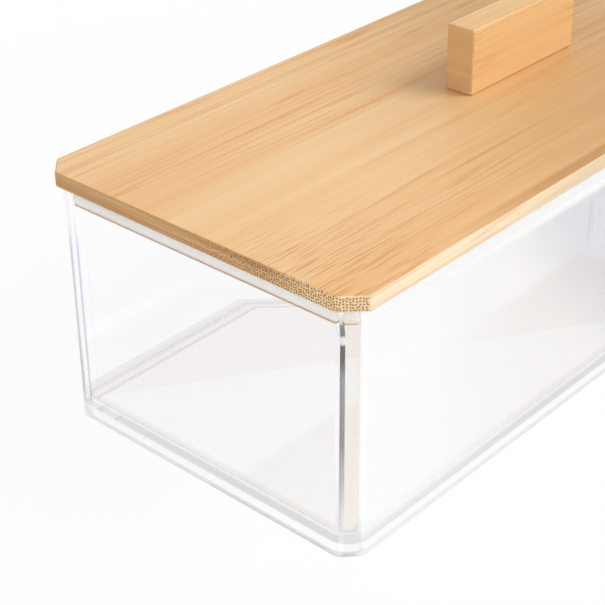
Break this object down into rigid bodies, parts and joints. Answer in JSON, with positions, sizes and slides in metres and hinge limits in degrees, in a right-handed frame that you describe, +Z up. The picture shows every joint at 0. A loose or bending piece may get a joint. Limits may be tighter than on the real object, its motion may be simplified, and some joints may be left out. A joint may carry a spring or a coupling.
{
  "type": "storage box",
  "caption": "Clear rectangular storage box with cut corners, closed by a lift-off bamboo lid that has a bar handle and a rubber seal.",
  "frame": {"origin": "middle of the box, on the surface that it stands on", "axes": "+X along the length, +Y across the width, +Z up"},
  "size_m": [0.25, 0.1, 0.0903],
  "materials": {
    "clear_plastic": "clear and polished",
    "bamboo_board": "satin lacquer over fine lengthwise grain",
    "bamboo_plug": "satin",
    "seal_rubber": "translucent matt",
    "bamboo_handle": "satin lacquer over fine lengthwise grain",
    "screw_steel": "zinc plated"
  },
  "bodies": {
    "base": {"box_body": "clear_plastic"},
    "lid": {"lid_board": "bamboo_board", "lid_plug": "bamboo_plug", "seal_ring": "seal_rubber", "handle_bar": "bamboo_handle", "handle_screw_1": "screw_steel", "handle_screw_2": "screw_steel"}
  },
  "joints": [
    {"name": "lid_lift", "type": "slide", "parent": "base", "child": "lid", "axis": [0, 0, 1], "range_m": [0, 0.1]}
  ]
}
